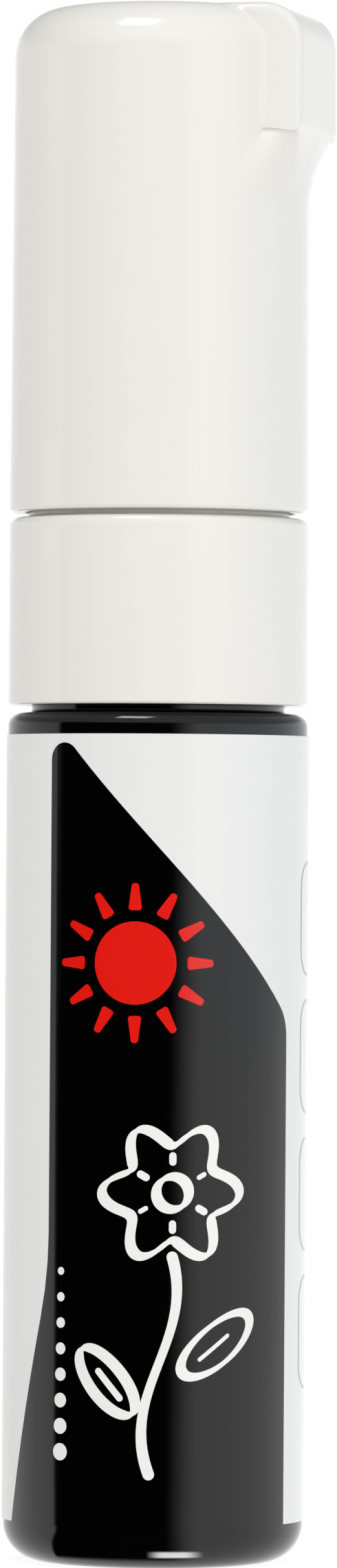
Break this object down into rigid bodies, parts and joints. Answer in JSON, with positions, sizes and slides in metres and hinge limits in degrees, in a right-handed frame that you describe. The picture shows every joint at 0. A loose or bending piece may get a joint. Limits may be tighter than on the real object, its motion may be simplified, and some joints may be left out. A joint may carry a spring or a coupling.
{
  "type": "liquid chalk marker",
  "caption": "Liquid chalk marker with a black barrel, a white pull-off cap with an anti-roll lug and a broad chisel nib fed by a spring valve.",
  "frame": {"origin": "centre of the base that the marker stands on", "axes": "+Z along the marker's axis, from the base to the cap; +X towards the lug of the cap"},
  "size_m": [0.0282, 0.0272, 0.14],
  "materials": {
    "black_plastic": "glossy moulded",
    "label_film": "glossy printed film",
    "white_plastic": "glossy moulded",
    "liner_plastic": "satin moulded",
    "valve_plastic": "satin moulded",
    "elastomer": "matte",
    "felt": "bonded fibre",
    "steel": "polished"
  },
  "bodies": {
    "barrel": {"barrel": "black_plastic", "barrel_label": "label_film", "neck_gasket": "elastomer", "valve_housing": "valve_plastic", "spring_plug": "valve_plastic", "valve_spring": "steel", "front_holder": "white_plastic"},
    "nib": {"nib": "felt"},
    "valve": {"valve_stem": "valve_plastic", "stem_seal": "elastomer"},
    "cap": {"cap_shell": "white_plastic", "cap_liner": "liner_plastic"},
    "ball_1": {"mixing_ball_1": "steel"},
    "ball_2": {"mixing_ball_2": "steel"}
  },
  "joints": [
    {"name": "cap_pull", "type": "slide", "parent": "barrel", "child": "cap", "axis": [0, 0, 1], "range_m": [0, 0.045]},
    {"name": "nib_press", "type": "slide", "parent": "barrel", "child": "nib", "axis": [0, 0, -1], "range_m": [0, 0.0025]},
    {"name": "valve_open", "type": "slide", "parent": "barrel", "child": "valve", "axis": [0, 0, -1], "range_m": [0, 0.0025], "stiffness_N_per_m": 800, "springref_m": -0.003, "deforming": ["valve_spring"]},
    {"name": "ball_1_rattle", "type": "slide", "parent": "barrel", "child": "ball_1", "axis": [0, 0, 1], "range_m": [0, 0.062]},
    {"name": "ball_2_rattle", "type": "slide", "parent": "barrel", "child": "ball_2", "axis": [0, 0, 1], "range_m": [0, 0.062]}
  ],
  "couplings": [
    {"joint": "valve_open", "follows": "nib_press", "ratio": 1}
  ]
}
